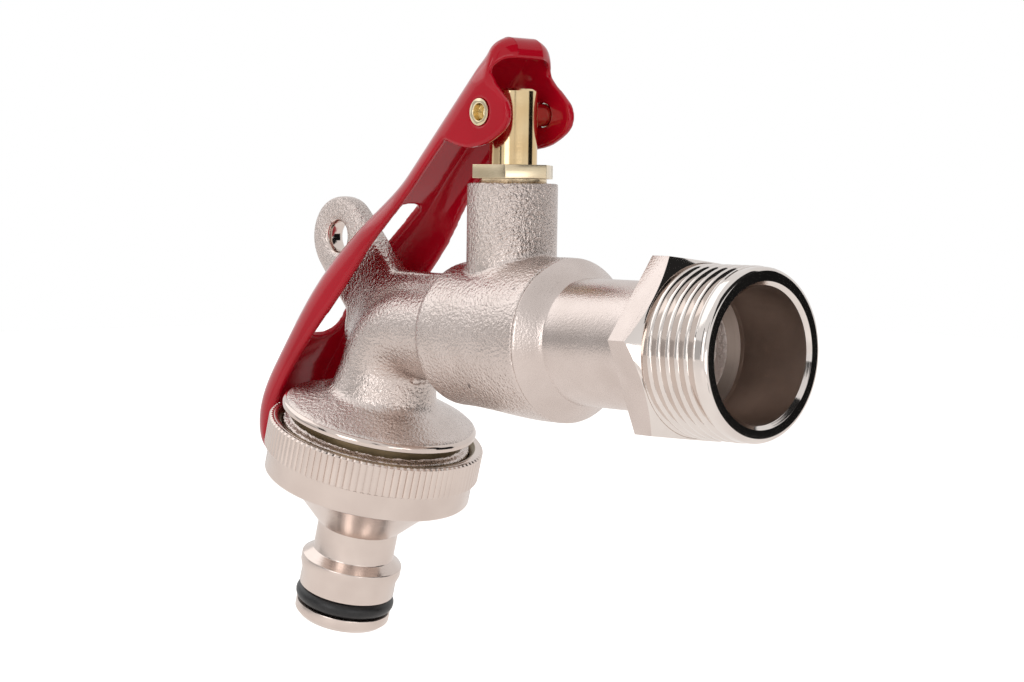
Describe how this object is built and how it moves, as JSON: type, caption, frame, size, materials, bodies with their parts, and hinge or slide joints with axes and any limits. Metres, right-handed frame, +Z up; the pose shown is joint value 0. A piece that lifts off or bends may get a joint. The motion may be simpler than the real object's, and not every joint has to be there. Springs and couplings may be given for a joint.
{
  "type": "hose tap",
  "caption": "Quarter-turn ball tap for a garden hose: threaded inlet, blasted body, fold-down lever shut over a padlock lug, and a knurled collar with a quick-coupling nose.",
  "frame": {"origin": "centre of the inlet hexagon's front face on the pipe's axis, where the inlet thread starts", "axes": "+X out of the inlet along its thread, +Z up the stem, Y across the tap"},
  "size_m": [0.1147, 0.0382, 0.1036],
  "materials": {
    "blasted_nickel": "nickel plated, sand blasted",
    "turned_nickel": "nickel plated, turned and satin",
    "bare_brass": "turned, bare",
    "chromed_ball": "polished",
    "seat_plastic": "smooth",
    "red_coating": "glossy coating over pressed steel",
    "black_rubber": "satin"
  },
  "bodies": {
    "body": {"valve_body": "blasted_nickel", "inlet_connector": "turned_nickel", "inlet_seat": "seat_plastic", "outlet_seat": "seat_plastic", "thrust_washer": "seat_plastic", "stem_packing": "seat_plastic", "gland_nut": "bare_brass", "hose_adaptor": "turned_nickel", "adaptor_nose": "turned_nickel", "adaptor_gasket": "black_rubber", "spigot_o_ring": "black_rubber"},
    "stem": {"stem": "bare_brass", "ball": "chromed_ball", "lever_rivet": "bare_brass"},
    "lever": {"lever": "red_coating"}
  },
  "joints": [
    {"name": "stem_turn", "type": "hinge", "parent": "body", "child": "stem", "pos_m": [-0.0424, 0, 0], "axis": [0, 0, 1], "range_deg": [-1.2, 1.2]},
    {"name": "lever_lift", "type": "hinge", "parent": "stem", "child": "lever", "pos_m": [-0.0424, 0, 0.03645], "axis": [0, 1, 0], "range_deg": [0, 60]}
  ]
}
